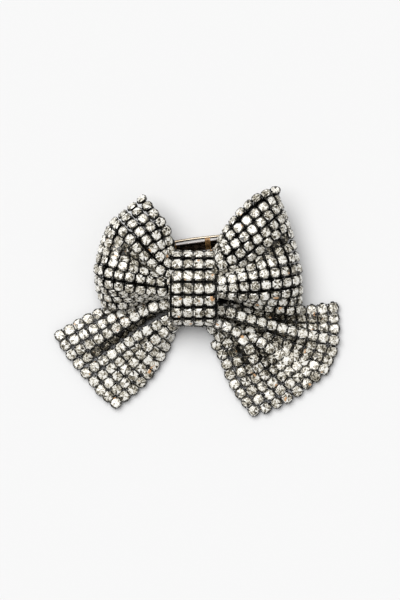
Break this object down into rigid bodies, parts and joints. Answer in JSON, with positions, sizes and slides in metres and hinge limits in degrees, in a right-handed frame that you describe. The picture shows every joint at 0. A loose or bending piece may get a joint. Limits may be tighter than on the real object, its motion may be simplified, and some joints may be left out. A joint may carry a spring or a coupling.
{
  "type": "bow brooch",
  "caption": "Bow-shaped brooch of crystal mesh ribbon with two puffed loops, two flared tails and a wrapped knot, on a bar pin with a turning safety catch.",
  "frame": {"origin": "centre of the bounding box in X and Y, at the level surface that the brooch lies on", "axes": "+X along the bow to the viewer's right, +Y towards the tops of the loops, +Z out of the bow's face, away from the garment"},
  "size_m": [0.0894, 0.0696, 0.0169],
  "materials": {
    "crystal_mesh": "faceted and foil-backed, in dark claw cups",
    "dark_cups": "black nickel plate",
    "nickel": "polished nickel plate",
    "brass_wire": "worn bright",
    "black_thread": "waxed"
  },
  "bodies": {
    "bow": {"left_loop_front": "crystal_mesh", "left_loop_back": "crystal_mesh", "right_loop_front": "crystal_mesh", "right_loop_back": "crystal_mesh", "left_tail": "crystal_mesh", "right_tail": "crystal_mesh", "knot_wrap": "crystal_mesh", "gathered_neck": "dark_cups", "gathering_thread": "black_thread", "seam_stitch_1": "black_thread", "seam_stitch_2": "black_thread", "seam_stitch_3": "black_thread", "pin_bar": "nickel", "pin_joint": "nickel", "joint_rivet": "nickel", "catch_housing": "nickel", "binding_wire_left": "brass_wire", "binding_wire_right": "brass_wire", "bar_stitch_left": "black_thread", "bar_stitch_right": "black_thread"},
    "pin": {"pin_stem": "nickel"},
    "latch": {"catch_rotor": "nickel"}
  },
  "joints": [
    {"name": "pin_hinge", "type": "hinge", "parent": "bow", "child": "pin", "pos_m": [-0.01407, 0.0178, 0.00327], "axis": [-0.0907, 0.6887, 0.7193], "range_deg": [0, 100]},
    {"name": "catch_turn", "type": "hinge", "parent": "bow", "child": "latch", "pos_m": [0.01109, 0.02126, 0.00313], "axis": [0.9914, 0.1305, 0], "range_deg": [0, 90]}
  ]
}
